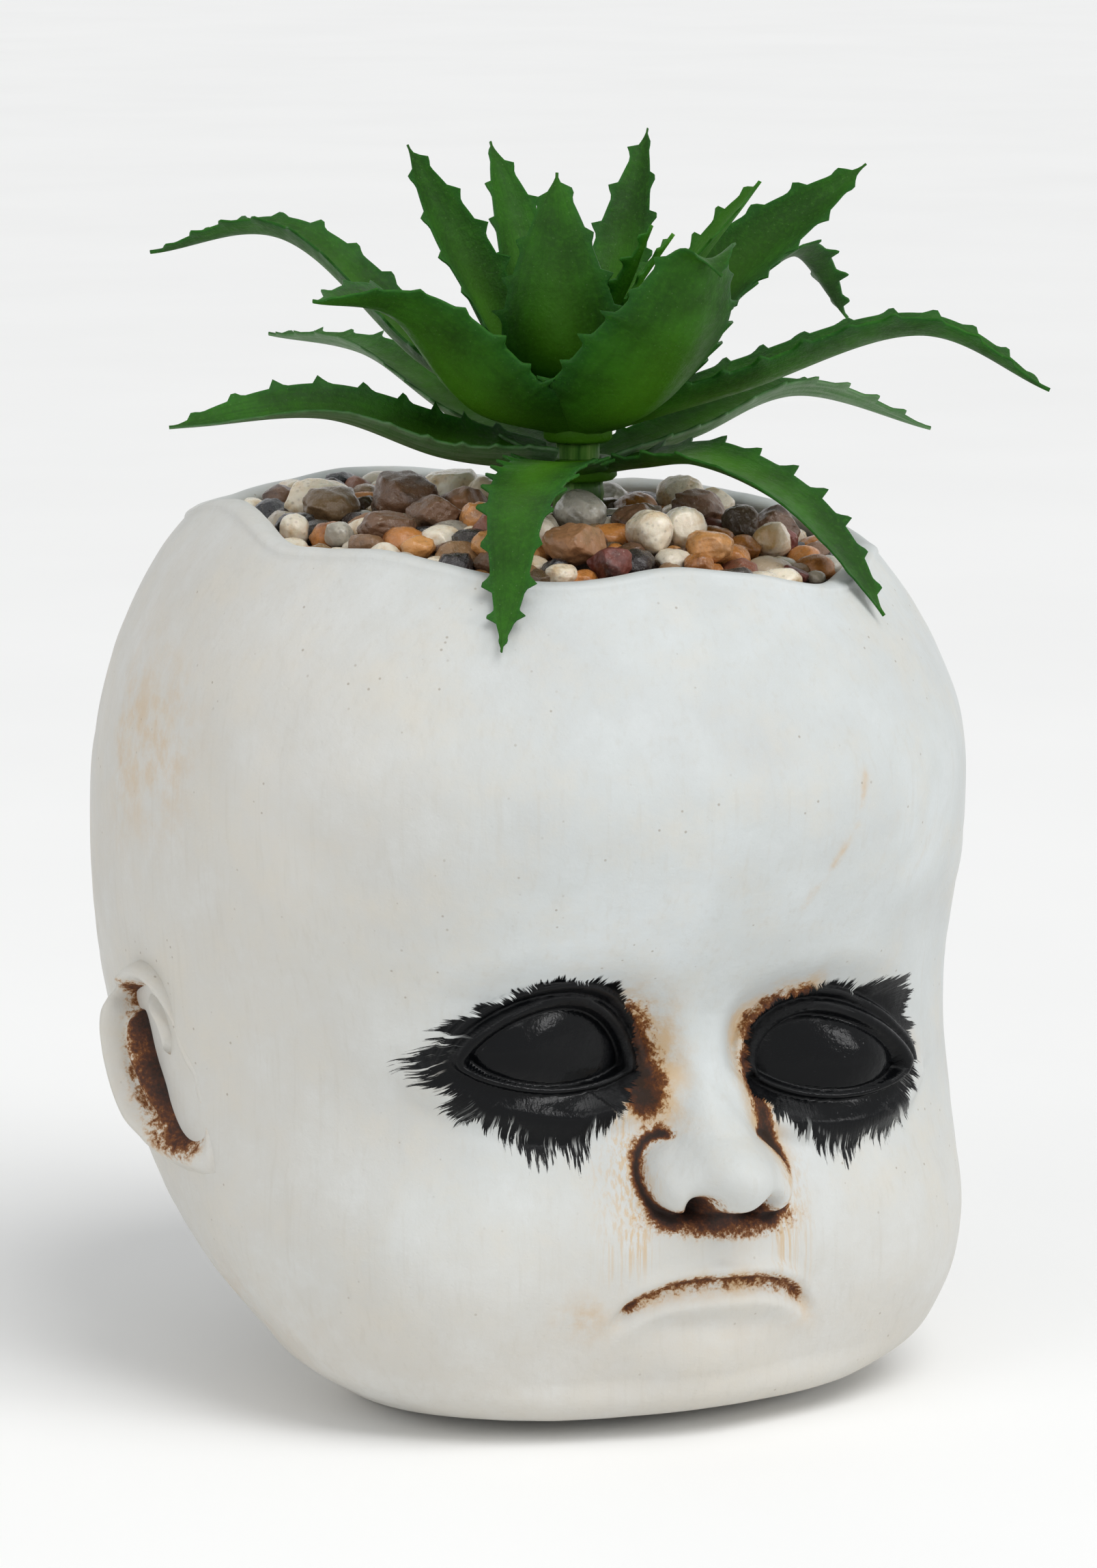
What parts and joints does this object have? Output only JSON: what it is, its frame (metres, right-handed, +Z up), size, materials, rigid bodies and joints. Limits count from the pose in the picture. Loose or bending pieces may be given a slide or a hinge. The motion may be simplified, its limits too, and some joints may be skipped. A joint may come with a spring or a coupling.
{
  "type": "succulent planter",
  "caption": "Doll's head planter with an open, wavy crown, filled with pebbles over foam and holding a toothed artificial succulent whose leaf whorls turn on a stem that lifts out.",
  "frame": {"origin": "in the middle of the flat base that the head stands on", "axes": "+Z up out of the crown, -Y the way the face looks, +X towards the doll's left ear"},
  "size_m": [0.1383, 0.1383, 0.181],
  "materials": {
    "resin": "satin",
    "foam": "matte",
    "gravel": "matte",
    "stone_cream": "satin",
    "stone_tan": "satin",
    "stone_brown": "satin",
    "stone_dark": "satin",
    "stone_grey": "satin",
    "stone_purple": "satin",
    "stem_plastic": "satin",
    "leaf_plastic": "satin",
    "young_leaf_plastic": "satin",
    "wire": "plain"
  },
  "bodies": {
    "pot": {"head_pot": "resin", "foam_block": "foam", "gravel_bed": "gravel", "pebble_01_cream": "stone_cream", "pebble_02_tan": "stone_tan", "pebble_03_tan": "stone_tan", "pebble_04_dark": "stone_dark", "pebble_05_cream": "stone_cream", "pebble_06_dark": "stone_dark", "pebble_07_grey": "stone_grey", "pebble_08_brown": "stone_brown", "pebble_09_brown": "stone_brown", "pebble_10_cream": "stone_cream", "pebble_11_tan": "stone_tan", "pebble_12_tan": "stone_tan", "pebble_13_tan": "stone_tan", "pebble_14_tan": "stone_tan", "pebble_15_grey": "stone_grey", "pebble_16_grey": "stone_grey", "pebble_17_purple": "stone_purple", "pebble_18_cream": "stone_cream", "pebble_19_purple": "stone_purple", "pebble_20_cream": "stone_cream", "pebble_21_cream": "stone_cream", "pebble_22_brown": "stone_brown", "pebble_23_dark": "stone_dark", "pebble_24_dark": "stone_dark", "pebble_25_cream": "stone_cream", "pebble_26_cream": "stone_cream", "pebble_27_brown": "stone_brown", "pebble_28_tan": "stone_tan", "pebble_29_tan": "stone_tan", "pebble_30_cream": "stone_cream", "pebble_31_purple": "stone_purple", "pebble_32_cream": "stone_cream", "pebble_33_cream": "stone_cream", "pebble_34_purple": "stone_purple", "pebble_35_grey": "stone_grey", "pebble_36_dark": "stone_dark", "pebble_37_brown": "stone_brown", "pebble_38_tan": "stone_tan", "pebble_39_cream": "stone_cream", "pebble_40_purple": "stone_purple", "pebble_41_grey": "stone_grey", "pebble_42_dark": "stone_dark", "pebble_43_brown": "stone_brown", "pebble_44_tan": "stone_tan"},
    "plant": {"plant_stem": "stem_plastic", "stem_wire": "wire", "lower_leaf_whorl": "leaf_plastic"},
    "middle_whorl": {"middle_leaf_whorl": "leaf_plastic"},
    "upper_whorl": {"upper_leaf_whorl": "leaf_plastic"},
    "crown_whorl": {"crown_leaf_whorl": "young_leaf_plastic"}
  },
  "joints": [
    {"name": "plant_lift", "type": "slide", "parent": "pot", "child": "plant", "axis": [0, 0, 1], "range_m": [0, 0.06]},
    {"name": "middle_whorl_turn", "type": "hinge", "parent": "plant", "child": "middle_whorl", "pos_m": [0.006, 0.008, 0.138], "axis": [0, 0, 1], "range_deg": [-30, 30]},
    {"name": "upper_whorl_turn", "type": "hinge", "parent": "plant", "child": "upper_whorl", "pos_m": [0.006, 0.008, 0.144], "axis": [0, 0, 1], "range_deg": [-20, 20]},
    {"name": "crown_whorl_turn", "type": "hinge", "parent": "plant", "child": "crown_whorl", "pos_m": [0.006, 0.008, 0.149], "axis": [0, 0, 1], "range_deg": [-20, 20]}
  ]
}
